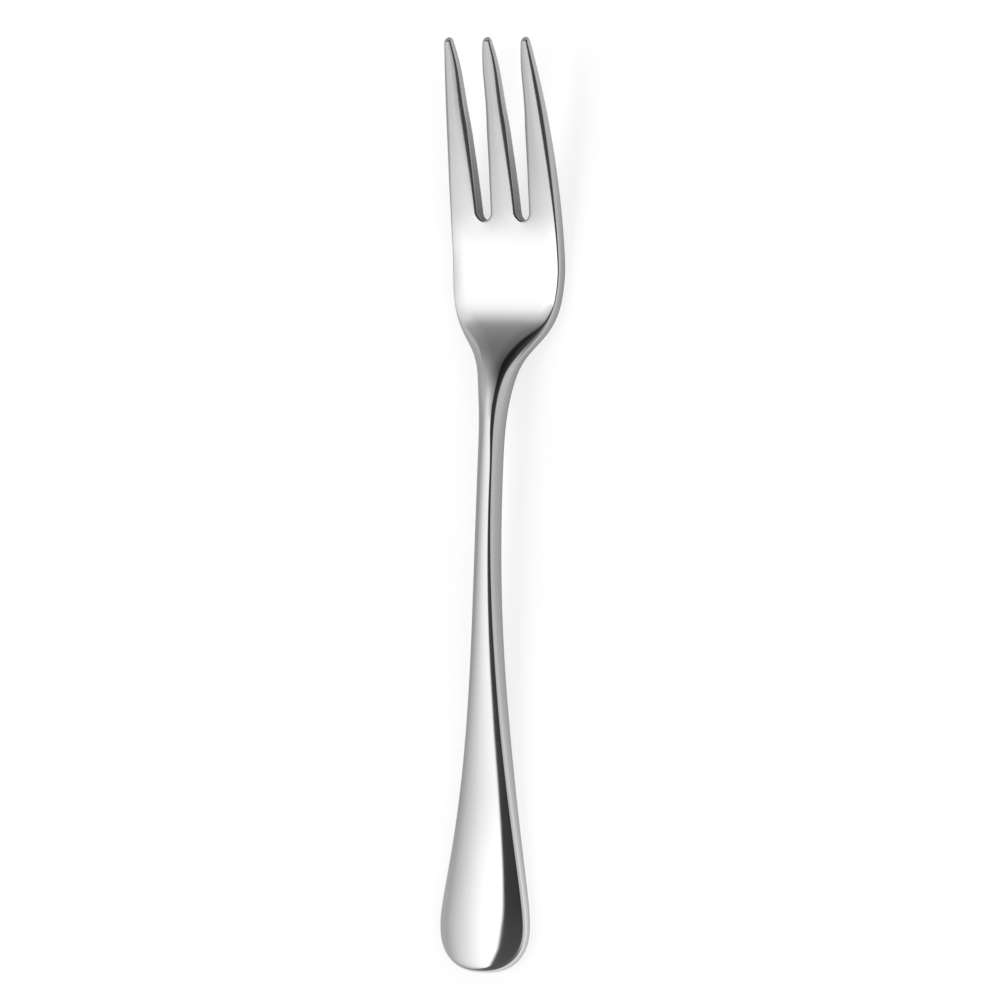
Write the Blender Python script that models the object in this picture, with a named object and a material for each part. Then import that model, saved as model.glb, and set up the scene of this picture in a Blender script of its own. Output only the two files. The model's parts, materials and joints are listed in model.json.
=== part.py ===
"""Fish fork, forged in one piece from stainless steel and polished all over.

The fork lies on its back along Y with its three tines towards +Y, X across and Z up.
It rests on the back of its bowl and on the back of its handle, both at Z = 0.
Every size is in metres.
"""
from collections import namedtuple

import bmesh
import bpy
import numpy as np

OBJECT_NAME = "fish_fork"
PIECE_NAME = "fork"

# Lengths in a row along the fork, from the end of the handle to the tips
END_LENGTH = 0.0090
TAPER_LENGTH = 0.0870
SHOULDER_LENGTH = 0.0410
HEAD_LENGTH = 0.0080
TINE_LENGTH = 0.0350

# Widths seen from above
HANDLE_WIDTH = 0.0210
STEM_WIDTH = 0.0044
HEAD_WIDTH = 0.0265
TINE_PITCH = 0.0094
TIP_WIDTH = 0.0015
SLOT_ROOT_WIDTH = 0.0033
SLOT_MOUTH_WIDTH = 0.0061
POINT_LENGTH = 0.0080

# Thickness of the edge, seen from the side
HANDLE_EDGE = 0.00245
MID_HANDLE_EDGE = 0.0032
STEM_EDGE = 0.0036
NECK_EDGE = 0.00415
HEAD_EDGE = 0.0023
TIP_EDGE = 0.0010

# Heights of the back above the table
STEM_CLEARANCE = 0.0030
TIP_CLEARANCE = 0.0104
TIP_RISE = 0.33

# Where the back touches the table: from the end of the handle, and on either side of the bowl
HANDLE_REST_LENGTH = 0.0180
BOWL_BACK_OF_WIDEST = 0.0070
BOWL_REST_LENGTH = 0.0080

# How far before the bowl the neck starts and is thickest, its edge is roundest and the crown has faded out
NECK_BEFORE_BOWL = 0.0200
THICKEST_BEFORE_BOWL = 0.0180
SHOULDER_BEFORE_BOWL = 0.0100
CROWN_STOP_BEFORE_BOWL = 0.0090

# Crown of the handle, as its height over its half width
END_CROWN = 0.14
MID_HANDLE_CROWN = 0.103
STEM_CROWN = 0.13
NECK_CROWN = 0.085
NECK_CROWN_FALL = -6.0

# The crown falls away to a dome over the end of the handle, and its high line drifts to the right
DOME_LENGTH = 0.0160
DOME_SHARE = 0.7
DOME_POWER = 3.0
HIGH_LINE_START = 0.0300
HIGH_LINE_DRIFT = 0.0065

# Round of the edges, and how square the round is towards the front, in the slots and towards the back
END_ROUND = 0.0012
HANDLE_ROUND = 0.0009
NECK_ROUND = 0.00115
SHOULDER_ROUND = 0.0024
HEAD_ROUND = 0.0004
TINE_ROUND = 0.0012
TIP_ROUND = 0.00045
SLOT_ROUND = 0.00055
SLOT_POWER = 2.6
BACK_POWER = 4.0
END_POWER = 2.9

# Fineness of the mesh
HALF_TINE_COLUMNS = 1
SLOT_COLUMNS = 6
END_ROWS = 7
HANDLE_ROWS = 16
NECK_ROWS = 6
SHOULDER_ROWS = 12
REST_ROWS = 4
HEAD_ROWS = 7
TINE_ROWS = 15
ROUND_STEPS = 10
CURVE_STEPS = 200
END_ARC = np.radians(50.0)
SLOPE_STEP = 1e-5
WELD_DISTANCE = 2e-6

STEEL_COLOUR = (0.58, 0.58, 0.58, 1.0)
STEEL_ROUGHNESS = 0.08

# Places along the fork, measured from the end of the handle
WIDEST_AT = END_LENGTH
STEM_AT = WIDEST_AT + TAPER_LENGTH
HEAD_AT = STEM_AT + SHOULDER_LENGTH
ROOT_AT = HEAD_AT + HEAD_LENGTH
TIP_AT = ROOT_AT + TINE_LENGTH
BOWL_AT = HEAD_AT - BOWL_BACK_OF_WIDEST
REST_START = BOWL_AT - BOWL_REST_LENGTH / 2
REST_STOP = BOWL_AT + BOWL_REST_LENGTH / 2
NECK_AT = BOWL_AT - NECK_BEFORE_BOWL
THICKEST_AT = BOWL_AT - THICKEST_BEFORE_BOWL
SHOULDER_AT = BOWL_AT - SHOULDER_BEFORE_BOWL
MID_HANDLE_AT = WIDEST_AT + TAPER_LENGTH / 2
MID_TINE_AT = TIP_AT - TINE_LENGTH / 2
SLOT_AT = TINE_PITCH / 2
SLOT_RADIUS = SLOT_ROOT_WIDTH / 2
SLOT_STRAIGHT_AT = ROOT_AT + SLOT_RADIUS
TIP_SPAN = 2 * TINE_PITCH + TIP_WIDTH
TINE_COLUMNS = 2 * HALF_TINE_COLUMNS
COLUMNS = 3 * TINE_COLUMNS + 2 * SLOT_COLUMNS

# Curves along the fork. A knot is (place, value, slope, reach back, reach ahead), with each reach
# given as a share of the span to the next knot on that side.
HALF_WIDTH = (
    (WIDEST_AT, HANDLE_WIDTH / 2, 0.0, 0.0, 0.10),
    (STEM_AT, STEM_WIDTH / 2, 0.0, 0.62, 0.86),
    (HEAD_AT, HEAD_WIDTH / 2, 0.0, 0.55, 0.25),
    (TIP_AT, TIP_SPAN / 2, -0.20, 0.40, 0.0),
)
EDGE_THICKNESS = (
    (END_LENGTH / 3, HANDLE_EDGE, 0.0, 0.0, 0.40),
    (MID_HANDLE_AT, MID_HANDLE_EDGE, 0.0, 0.35, 0.35),
    (STEM_AT, STEM_EDGE, 0.0, 0.35, 0.35),
    (THICKEST_AT, NECK_EDGE, 0.0, 0.45, 0.62),
    (BOWL_AT, HEAD_EDGE, 0.0, 0.34, 0.40),
    (TIP_AT, TIP_EDGE, -0.06, 0.30, 0.0),
)
BACK_HEIGHT = (
    (HANDLE_REST_LENGTH, 0.0, 0.0, 0.0, 0.42),
    (STEM_AT, STEM_CLEARANCE, 0.0, 0.48, 0.80),
    (REST_START, 0.0, 0.0, 0.265, 0.30),
    (REST_STOP, 0.0, 0.0, 0.30, 0.15),
    (TIP_AT, TIP_CLEARANCE, TIP_RISE, 0.40, 0.0),
)
EDGE_ROUND = (
    (END_ROUND, END_ROUND, 0.0, 0.0, 0.40),
    (WIDEST_AT + END_LENGTH / 2, HANDLE_ROUND, 0.0, 0.40, 0.40),
    (STEM_AT, HANDLE_ROUND, 0.0, 0.40, 0.40),
    (NECK_AT, NECK_ROUND, 0.0, 0.40, 0.55),
    (SHOULDER_AT, SHOULDER_ROUND, 0.0, 0.35, 0.35),
    (BOWL_AT, HEAD_ROUND, 0.0, 0.45, 0.40),
    (MID_TINE_AT, TINE_ROUND, 0.0, 0.40, 0.50),
    (TIP_AT, TIP_ROUND, -0.05, 0.20, 0.0),
)
FRONT_POWER = (
    (WIDEST_AT, 2.6, 0.0, 0.0, 0.40),
    (STEM_AT, 3.4, 0.0, 0.40, 0.40),
    (SHOULDER_AT, 2.1, 0.0, 0.40, 0.40),
    (BOWL_AT, 4.0, 0.0, 0.40, 0.40),
    (MID_TINE_AT, 2.1, 0.0, 0.40, 0.0),
)
CROWN = (
    (WIDEST_AT, END_CROWN, 0.0, 0.0, 0.30),
    (WIDEST_AT + 0.40 * TAPER_LENGTH, MID_HANDLE_CROWN, 0.0, 0.50, 0.40),
    (STEM_AT, STEM_CROWN, 0.0, 0.40, 0.40),
    (NECK_AT, NECK_CROWN, NECK_CROWN_FALL, 0.30, 0.40),
    (BOWL_AT - CROWN_STOP_BEFORE_BOWL, 0.0, 0.0, 0.40, 0.0),
)


def follow(knots, place):
    """Return the value of a curve through the knots at one place or at an array of places."""
    share = np.linspace(0.0, 1.0, CURVE_STEPS)
    weights = ((1 - share) ** 3, 3 * share * (1 - share) ** 2, 3 * share ** 2 * (1 - share), share ** 3)
    places = []
    values = []
    for start, stop in zip(knots, knots[1:]):
        span = stop[0] - start[0]
        ahead = start[4] * span
        behind = stop[3] * span
        along = (start[0], start[0] + ahead, stop[0] - behind, stop[0])
        across = (start[1], start[1] + start[2] * ahead, stop[1] - stop[2] * behind, stop[1])
        places.append(sum(weight * point for weight, point in zip(weights, along)))
        values.append(sum(weight * point for weight, point in zip(weights, across)))
    return np.interp(place, np.concatenate(places), np.concatenate(values))


def inner_half_width(place):
    """Return the half width of the faces at a place, inside the round of the edge."""
    return follow(HALF_WIDTH, place) - follow(EDGE_ROUND, place)


def slot_round(place):
    """Return the round of the edges of the slots, which changes over to the round of the tips."""
    share = np.clip((place - SLOT_STRAIGHT_AT) / (TIP_AT - SLOT_STRAIGHT_AT), 0.0, 1.0)
    return SLOT_ROUND + share ** 4 * (TIP_ROUND - SLOT_ROUND)


def slot_half_width(place):
    """Return the half width of a slot, which flares and opens out where the tines come to a point."""
    share = (place - SLOT_STRAIGHT_AT) / (TIP_AT - SLOT_STRAIGHT_AT)
    flare = SLOT_RADIUS + share * (SLOT_MOUTH_WIDTH - SLOT_ROOT_WIDTH) / 2
    point = np.clip((place - TIP_AT + POINT_LENGTH) / POINT_LENGTH, 0.0, 1.0)
    return flare + point ** 2 * (SLOT_AT - SLOT_MOUTH_WIDTH / 2 - TIP_WIDTH / 2)


def back_height(across, place):
    """Return the height of the back, which is level across the fork."""
    return follow(BACK_HEIGHT, place)


def front_height(across, place):
    """Return the height of the front: the back, the edge thickness and the crown of the handle."""
    behind = np.clip((DOME_LENGTH - place) / (DOME_LENGTH - END_ROUND), 0.0, 1.0)
    reach = inner_half_width(np.maximum(place, WIDEST_AT))
    dome = reach ** 2 * (1 - DOME_SHARE * behind ** DOME_POWER)
    high_line = HIGH_LINE_DRIFT * np.maximum(place - HIGH_LINE_START, 0.0)
    crown = follow(CROWN, place) * (dome - (across - high_line) ** 2) / reach
    return back_height(across, place) + follow(EDGE_THICKNESS, place) + crown


def in_slot(column):
    """Return whether a column of the grid runs along one of the two slots."""
    return column % (TINE_COLUMNS + SLOT_COLUMNS) >= TINE_COLUMNS


def root_row():
    """Return the row of points that runs round the bottoms of both slots, as X and drop in Y."""
    radius = SLOT_RADIUS + SLOT_ROUND
    angle = np.linspace(np.pi, 0.0, SLOT_COLUMNS + 1)
    slot_across = SLOT_AT + radius * np.cos(angle)
    slot_drop = -radius * np.sin(angle)
    outer = inner_half_width(SLOT_STRAIGHT_AT)
    outer_tine = np.linspace(slot_across[-1], outer, TINE_COLUMNS + 1)[1:]
    middle_tine = np.linspace(0.0, slot_across[0], HALF_TINE_COLUMNS + 1)[:-1]
    half_across = np.concatenate((middle_tine, slot_across, outer_tine))
    half_drop = np.concatenate((0 * middle_tine, slot_drop, 0 * outer_tine))
    across = np.concatenate((-half_across[:0:-1], half_across))
    drop = np.concatenate((half_drop[:0:-1], half_drop))
    return across, drop


def end_rows():
    """Return the rows of the rounded handle end, from the arc of the end to a straight row."""
    half_length = WIDEST_AT - END_ROUND
    widest = inner_half_width(WIDEST_AT)
    spread = np.linspace(-1.0, 1.0, COLUMNS + 1)
    arc_across = np.sign(spread) * np.abs(np.sin(END_ARC * spread)) ** (2 / END_POWER)
    arc_along = np.cos(END_ARC * spread) ** (2 / END_POWER)
    rows = []
    for turn in np.linspace(END_ARC, np.pi / 2, END_ROWS + 1)[:-1]:
        straighten = (turn - END_ARC) / (np.pi / 2 - END_ARC)
        edge = np.sin(turn) ** (2 / END_POWER)
        level = np.cos(turn) ** (2 / END_POWER)
        across = edge * ((1 - straighten) * arc_across / arc_across[-1] + straighten * spread)
        along = level + (1 - straighten) * (arc_along - arc_along[-1])
        rows.append((widest * across, WIDEST_AT - half_length * along))
    return rows


def body_rows():
    """Return the rows from the widest part of the handle to the bottoms of the slots."""
    root_across, root_drop = root_row()
    root_share = root_across / root_across[-1]
    even_share = np.linspace(-1.0, 1.0, COLUMNS + 1)
    places = np.concatenate((
        np.linspace(WIDEST_AT, STEM_AT, HANDLE_ROWS, endpoint=False),
        np.linspace(STEM_AT, NECK_AT, NECK_ROWS, endpoint=False),
        np.linspace(NECK_AT, REST_START, SHOULDER_ROWS, endpoint=False),
        np.linspace(REST_START, REST_STOP, REST_ROWS, endpoint=False),
        np.linspace(REST_STOP, SLOT_STRAIGHT_AT, HEAD_ROWS),
    ))
    rows = []
    for place in places:
        bend = np.clip((place - REST_STOP) / (SLOT_STRAIGHT_AT - REST_STOP), 0.0, 1.0)
        spread = np.clip((place - SHOULDER_AT) / (BOWL_AT - SHOULDER_AT), 0.0, 1.0)
        share = (1 - spread) * even_share + spread * root_share
        rows.append((inner_half_width(place) * share, place + bend * root_drop))
    return rows


def tine_rows():
    """Return the rows of the tines, whose slot columns are left where the slots are."""
    rows = []
    length = TIP_AT - TIP_ROUND - SLOT_STRAIGHT_AT
    closer_to_tip = np.sin(np.linspace(0.0, np.pi / 2, TINE_ROWS + 1)[1:])
    for place in SLOT_STRAIGHT_AT + length * closer_to_tip:
        gap = slot_half_width(place) + slot_round(place)
        outer_tine = np.linspace(SLOT_AT + gap, inner_half_width(place), TINE_COLUMNS + 1)
        middle_tine = np.linspace(0.0, SLOT_AT - gap, HALF_TINE_COLUMNS + 1)
        slot = np.linspace(SLOT_AT - gap, SLOT_AT + gap, SLOT_COLUMNS + 1)[1:-1]
        half_across = np.concatenate((middle_tine, slot, outer_tine))
        across = np.concatenate((-half_across[:0:-1], half_across))
        rows.append((across, np.full(COLUMNS + 1, place)))
    return rows


def add_face_sheet(mesh, height):
    """Add one face of the fork as a grid shaped over its plan, with the slots left open."""
    rows = end_rows() + body_rows() + tine_rows()
    last_row = len(rows) - 1
    last_solid_row = last_row - TINE_ROWS
    grid = bmesh.ops.create_grid(mesh, x_segments=COLUMNS, y_segments=last_row, size=0.5)
    cells = {}
    for vertex in grid["verts"]:
        cells[vertex] = (round((vertex.co.x + 0.5) * COLUMNS), round((vertex.co.y + 0.5) * last_row))
    slot_faces = []
    for face in {face for vertex in grid["verts"] for face in vertex.link_faces}:
        column = min(cells[vertex][0] for vertex in face.verts)
        row = min(cells[vertex][1] for vertex in face.verts)
        if in_slot(column) and row >= last_solid_row:
            slot_faces.append(face)
    for vertex, (column, row) in cells.items():
        across = rows[row][0][column]
        place = rows[row][1][column]
        vertex.co = (across, place, float(height(across, place)))
    bmesh.ops.delete(mesh, geom=slot_faces, context="FACES")


EdgePoint = namedtuple("EdgePoint", "across place side round power front front_slope back back_slope")


def outward_directions(boundary):
    """Return the direction in plan that leads out of the sheet at each point of its boundary."""
    directions = {}
    for edge in boundary:
        first, second = edge.verts
        run = second.co - first.co
        side = np.array((run.y, -run.x))
        middle = (first.co + second.co) / 2
        away = middle - edge.link_faces[0].calc_center_median()
        if side[0] * away.x + side[1] * away.y < 0:
            side = -side
        side = side / np.linalg.norm(side)
        for vertex in edge.verts:
            directions[vertex] = directions.get(vertex, np.zeros(2)) + side
    return {vertex: side / np.linalg.norm(side) for vertex, side in directions.items()}


def edge_point(across, place, side):
    """Return what the rounded edge needs at one point: its round, and both faces' heights and slopes."""
    inside = (across - SLOPE_STEP * side[0], place - SLOPE_STEP * side[1])
    front = front_height(across, place)
    back = back_height(across, place)
    front_slope = (front - front_height(*inside)) / SLOPE_STEP
    back_slope = (back - back_height(*inside)) / SLOPE_STEP
    if place > HEAD_AT and abs(across) < inner_half_width(place) - SLOPE_STEP:
        edge_round = slot_round(place)
        power = SLOT_POWER
    else:
        edge_round = follow(EDGE_ROUND, place)
        power = follow(FRONT_POWER, place)
    return EdgePoint(across, place, side, edge_round, power, front, front_slope, back, back_slope)


def add_rounded_edge(mesh):
    """Carry the rounded edge from the boundary of the front down to the boundary of the back."""
    ring = [edge for edge in mesh.edges if edge.is_boundary]
    number = mesh.verts.layers.int.new("edge_point")
    points = []
    for vertex, side in outward_directions(ring).items():
        vertex[number] = len(points)
        points.append(edge_point(vertex.co.x, vertex.co.y, side))
    for angle in np.linspace(0.0, np.pi, ROUND_STEPS + 1)[1:]:
        grown = bmesh.ops.extrude_edge_only(mesh, edges=ring)["geom"]
        ring = [item for item in grown if isinstance(item, bmesh.types.BMEdge)]
        for vertex in (item for item in grown if isinstance(item, bmesh.types.BMVert)):
            point = points[vertex[number]]
            power = point.power if angle < np.pi / 2 else BACK_POWER
            lean = np.sign(np.cos(angle)) * abs(np.cos(angle)) ** (2 / power)
            out = point.round * abs(np.sin(angle)) ** (2 / power)
            upper = point.front + point.front_slope * out
            lower = point.back + point.back_slope * out
            height = (1 + lean) / 2 * upper + (1 - lean) / 2 * lower
            vertex.co = (point.across + out * point.side[0], point.place + out * point.side[1], height)


def build_fork():
    """Return the mesh of the fork: a front, a back and the rounded edge between them."""
    mesh = bmesh.new()
    add_face_sheet(mesh, front_height)
    add_rounded_edge(mesh)
    add_face_sheet(mesh, back_height)
    bmesh.ops.remove_doubles(mesh, verts=mesh.verts, dist=WELD_DISTANCE)
    bmesh.ops.recalc_face_normals(mesh, faces=mesh.faces)
    bmesh.ops.translate(mesh, verts=mesh.verts, vec=(0.0, -TIP_AT / 2, 0.0))
    data = bpy.data.meshes.new(PIECE_NAME)
    mesh.to_mesh(data)
    mesh.free()
    return data


def steel_material():
    """Return the polished stainless steel of the fork."""
    material = bpy.data.materials.new("polished_stainless_steel")
    material.use_nodes = True
    shader = material.node_tree.nodes["Principled BSDF"]
    shader.inputs["Base Color"].default_value = STEEL_COLOUR
    shader.inputs["Metallic"].default_value = 1.0
    shader.inputs["Roughness"].default_value = STEEL_ROUGHNESS
    return material


for old in list(bpy.data.objects):
    bpy.data.objects.remove(old, do_unlink=True)
parts = bpy.data.collections.new(OBJECT_NAME)
bpy.context.scene.collection.children.link(parts)

fork = bpy.data.objects.new(PIECE_NAME, build_fork())
parts.objects.link(fork)
fork.data.materials.append(steel_material())
fork.data.shade_smooth()
fork.data.set_sharp_from_angle(angle=np.radians(50.0))
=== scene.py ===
# %% [markdown]
# # A polished fish fork
# A fish fork is a single piece of stainless steel: a flat blank is rolled, the tines are cut out, and
# dies press in the bowl and the neck. At the end the whole fork is polished until it mirrors the room.
# This lesson builds that one piece as a smooth surface, gives it a polished finish, and photographs it
# on a white table.

# %% Load the frame
import json

import bpy
import numpy as np
from mathutils import Matrix, Vector

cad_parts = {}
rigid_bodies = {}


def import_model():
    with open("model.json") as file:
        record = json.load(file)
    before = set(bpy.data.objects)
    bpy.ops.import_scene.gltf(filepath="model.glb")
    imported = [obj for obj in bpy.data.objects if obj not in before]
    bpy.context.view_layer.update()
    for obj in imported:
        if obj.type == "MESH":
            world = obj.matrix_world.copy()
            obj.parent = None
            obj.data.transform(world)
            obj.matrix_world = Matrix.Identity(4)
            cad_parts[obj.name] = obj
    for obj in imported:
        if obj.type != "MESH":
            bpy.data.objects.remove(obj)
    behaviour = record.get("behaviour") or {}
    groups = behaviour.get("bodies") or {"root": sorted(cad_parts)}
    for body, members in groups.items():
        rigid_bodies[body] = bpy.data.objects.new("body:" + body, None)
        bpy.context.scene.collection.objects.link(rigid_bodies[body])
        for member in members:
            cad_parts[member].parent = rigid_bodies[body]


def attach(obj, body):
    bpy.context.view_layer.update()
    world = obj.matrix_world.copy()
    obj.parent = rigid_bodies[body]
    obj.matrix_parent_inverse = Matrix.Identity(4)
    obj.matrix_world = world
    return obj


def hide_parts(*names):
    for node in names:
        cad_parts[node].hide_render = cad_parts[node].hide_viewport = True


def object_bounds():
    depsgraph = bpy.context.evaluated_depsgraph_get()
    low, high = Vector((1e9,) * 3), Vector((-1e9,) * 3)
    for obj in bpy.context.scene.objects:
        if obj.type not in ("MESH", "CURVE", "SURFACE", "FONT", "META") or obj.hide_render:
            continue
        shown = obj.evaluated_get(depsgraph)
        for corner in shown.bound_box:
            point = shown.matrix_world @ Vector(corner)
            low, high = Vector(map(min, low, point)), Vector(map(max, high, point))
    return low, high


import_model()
cad_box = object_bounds()
MM = 0.001
print("CAD box in mm:", [[round(value / MM, 2) for value in corner] for corner in cad_box])

# %% [markdown]
# ## Places along the fork
# A maker marks out a fork by stations along its length: the end of the handle, its widest point, the
# thin stem, the widest point of the head, the bottoms of the slots and the tips. The same stations
# place everything here, measured from the end of the handle, so that the polished surface follows the
# solid below it.

# %% Stations
END_LENGTH = 9.0 * MM
TAPER_LENGTH = 87.0 * MM
SHOULDER_LENGTH = 41.0 * MM
HEAD_LENGTH = 8.0 * MM
TINE_LENGTH = 35.0 * MM
BOWL_BACK_OF_WIDEST = 7.0 * MM
BOWL_REST_LENGTH = 8.0 * MM
NECK_BEFORE_BOWL = 20.0 * MM
SHOULDER_BEFORE_BOWL = 10.0 * MM
WIDEST_AT = END_LENGTH
STEM_AT = WIDEST_AT + TAPER_LENGTH
HEAD_AT = STEM_AT + SHOULDER_LENGTH
ROOT_AT = HEAD_AT + HEAD_LENGTH
TIP_AT = ROOT_AT + TINE_LENGTH
BOWL_AT = HEAD_AT - BOWL_BACK_OF_WIDEST
REST_START = BOWL_AT - BOWL_REST_LENGTH / 2
REST_STOP = BOWL_AT + BOWL_REST_LENGTH / 2
NECK_AT = BOWL_AT - NECK_BEFORE_BOWL
SHOULDER_AT = BOWL_AT - SHOULDER_BEFORE_BOWL
MID_HANDLE_AT = WIDEST_AT + TAPER_LENGTH / 2
MID_TINE_AT = TIP_AT - TINE_LENGTH / 2
print("length of the fork in mm:", round(TIP_AT / MM, 1))

# %% [markdown]
# ## Curves through the stations
# Width, thickness and height all change smoothly from station to station. A spline in the curve editor
# could hold each of them, but a small function keeps the numbers in sight and works on whole arrays of
# places.

# %% Draw a curve through knots
CURVE_STEPS = 4000


def follow(knots, place):
    """Return the value of a curve at an array of places.

    A knot is (place, value, slope, reach back, reach ahead). Between two knots the curve is a cubic Bezier
    arc whose handles lie along the slopes, at the reaches given as shares of the span. The arc is sampled
    finely and read off.
    """
    share = np.linspace(0.0, 1.0, CURVE_STEPS)
    rest = 1 - share
    weights = np.stack((rest ** 3, 3 * share * rest ** 2, 3 * share ** 2 * rest, share ** 3))
    places = []
    values = []
    for start, stop in zip(knots, knots[1:]):
        start_place, start_value, start_slope, _, reach_ahead = start
        stop_place, stop_value, stop_slope, reach_back, _ = stop
        ahead = reach_ahead * (stop_place - start_place)
        behind = reach_back * (stop_place - start_place)
        rise_ahead = start_slope * ahead
        rise_behind = stop_slope * behind
        along = (start_place, start_place + ahead, stop_place - behind, stop_place)
        across = (start_value, start_value + rise_ahead, stop_value - rise_behind, stop_value)
        places.append(np.array(along) @ weights)
        values.append(np.array(across) @ weights)
    return np.interp(place, np.concatenate(places), np.concatenate(values))


print("points on each arc of a curve:", CURVE_STEPS)

# %% [markdown]
# ## The outline from above
# The handle swells to a rounded end, narrows to a slim stem and opens again into the head. A drawn
# outline could be traced, but four knots hold it: the widest point of the handle, the stem, the head
# and the tips.

# %% Outline
HANDLE_WIDTH = 21.0 * MM
STEM_WIDTH = 4.2 * MM
HEAD_WIDTH = 26.2 * MM
TINE_PITCH = 9.4 * MM
TIP_WIDTH = 1.5 * MM
TIP_SPAN = 2 * TINE_PITCH + TIP_WIDTH
HALF_WIDTH = (
    (WIDEST_AT, HANDLE_WIDTH / 2, 0.0, 0.0, 0.095),
    (STEM_AT, STEM_WIDTH / 2, 0.0, 0.67, 0.88),
    (HEAD_AT, HEAD_WIDTH / 2, 0.0, 0.54, 0.25),
    (TIP_AT, TIP_SPAN / 2, -0.17, 0.40, 0.0),
)
mid_width = 2 * float(follow(HALF_WIDTH, MID_HANDLE_AT))
print("width at the middle of the handle in mm:", round(mid_width / MM, 2))

# %% [markdown]
# The polishing wheel rounds all edges over, so the faces stop a little inside the outline: by almost a
# millimetre on the handle, by more than two at the shoulders, and by less than half a millimetre at the
# head and the tips.

# %% Round of the edge
END_ROUND = 0.95 * MM
HANDLE_ROUND = 0.90 * MM
STEM_ROUND = 0.48 * MM
NECK_ROUND = 1.40 * MM
SHOULDER_ROUND = 2.4 * MM
HEAD_ROUND = 0.40 * MM
TINE_ROUND = 1.20 * MM
TIP_ROUND = 0.45 * MM
EDGE_ROUND = (
    (END_ROUND, END_ROUND, 0.0, 0.0, 0.40),
    (WIDEST_AT + END_LENGTH / 2, HANDLE_ROUND, 0.0, 0.40, 0.40),
    (STEM_AT, STEM_ROUND, 0.0, 0.40, 0.40),
    (NECK_AT, NECK_ROUND, 0.0, 0.40, 0.55),
    (SHOULDER_AT, SHOULDER_ROUND, 0.0, 0.35, 0.35),
    (BOWL_AT, HEAD_ROUND, 0.0, 0.45, 0.40),
    (MID_TINE_AT, TINE_ROUND, 0.0, 0.40, 0.50),
    (TIP_AT, TIP_ROUND, -0.05, 0.20, 0.0),
)


def face_half_width(place):
    """Return the half width of the faces: the half width of the fork less the round of its edge."""
    return follow(HALF_WIDTH, place) - follow(EDGE_ROUND, place)


print("half width of the faces at the stem in mm:", round(float(face_half_width(STEM_AT)) / MM, 2))

# %% [markdown]
# ## The back
# Seen from the side, the fork rests on the back of its bowl and on the back of its handle. The stem
# arches over the table, and the tines sweep up. The back is level across, so one curve along the fork
# is enough.

# %% Back
HANDLE_REST_LENGTH = 18.0 * MM
STEM_CLEARANCE = 3.0 * MM
TIP_CLEARANCE = 10.4 * MM
TIP_RISE = 0.33
BACK_HEIGHT = (
    (HANDLE_REST_LENGTH, 0.0, 0.0, 0.0, 0.42),
    (STEM_AT, STEM_CLEARANCE, 0.0, 0.48, 0.80),
    (REST_START, 0.0, 0.0, 0.265, 0.30),
    (REST_STOP, 0.0, 0.0, 0.30, 0.15),
    (TIP_AT, TIP_CLEARANCE, TIP_RISE, 0.40, 0.0),
)


def back_height(place):
    """Return the height of the back, a curve along the fork that is level across it."""
    return follow(BACK_HEIGHT, place)


print("height of the back under the stem in mm:", round(float(back_height(STEM_AT)) / MM, 2))

# %% [markdown]
# ## The front
# The front lies above the back by the thickness of the edge. The neck is the thickest part, and the
# tines thin out towards their tips.

# %% Thickness of the edge
HANDLE_EDGE = 2.45 * MM
MID_HANDLE_EDGE = 3.2 * MM
STEM_EDGE = 3.6 * MM
NECK_EDGE = 4.15 * MM
HEAD_EDGE = 2.3 * MM
TIP_EDGE = 1.0 * MM
THICKEST_BEFORE_BOWL = 18.0 * MM
EDGE_THICKNESS = (
    (END_LENGTH / 3, HANDLE_EDGE, 0.0, 0.0, 0.40),
    (MID_HANDLE_AT, MID_HANDLE_EDGE, 0.0, 0.35, 0.35),
    (STEM_AT, STEM_EDGE, 0.0, 0.35, 0.35),
    (BOWL_AT - THICKEST_BEFORE_BOWL, NECK_EDGE, 0.0, 0.45, 0.62),
    (BOWL_AT, HEAD_EDGE, 0.0, 0.34, 0.40),
    (TIP_AT, TIP_EDGE, -0.06, 0.30, 0.0),
)
print("thickness of the edge at the slots in mm:", round(float(follow(EDGE_THICKNESS, ROOT_AT)) / MM, 2))

# %% [markdown]
# The handle's front is crowned: it is a little higher along the middle than at its edges, and that
# crown draws the long highlight down the handle. The die leaves the tines slightly dished instead. A
# sculpted surface would ripple in a mirror, so crown and dish are parabolas whose strength changes
# along the fork.

# %% Crown and dish
END_CROWN = 0.14
LOW_CROWN = 0.103
LOW_CROWN_AT = WIDEST_AT + 0.40 * TAPER_LENGTH
STEM_CROWN = 0.13
NECK_CROWN = 0.085
NECK_CROWN_FALL = -0.006 / MM
CROWN_STOP_BEFORE_BOWL = 9.0 * MM
CROWN = (
    (WIDEST_AT, END_CROWN, 0.0, 0.0, 0.30),
    (LOW_CROWN_AT, LOW_CROWN, 0.0, 0.50, 0.40),
    (STEM_AT, STEM_CROWN, 0.0, 0.40, 0.40),
    (NECK_AT, NECK_CROWN, NECK_CROWN_FALL, 0.30, 0.40),
    (BOWL_AT - CROWN_STOP_BEFORE_BOWL, 0.0, 0.0, 0.40, 0.0),
)
DISH_BEND = 0.00135 / MM
DISH_AFTER_ROOT = 10.0 * MM
DISH = (
    (HEAD_AT, 0.0, 0.0, 0.0, 0.40),
    (ROOT_AT + DISH_AFTER_ROOT, DISH_BEND, 0.0, 0.40, 0.40),
    (TIP_AT, DISH_BEND, 0.0, 0.40, 0.0),
)
print("lift of the outer tines' middles in mm:", round(DISH_BEND * TINE_PITCH ** 2 / MM, 2))

# %% Front
DOME_LENGTH = 16.0 * MM
DOME_SHARE = 0.7
DOME_POWER = 3.0
HIGH_LINE_START = 30.0 * MM
HIGH_LINE_DRIFT = 0.0065


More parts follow.
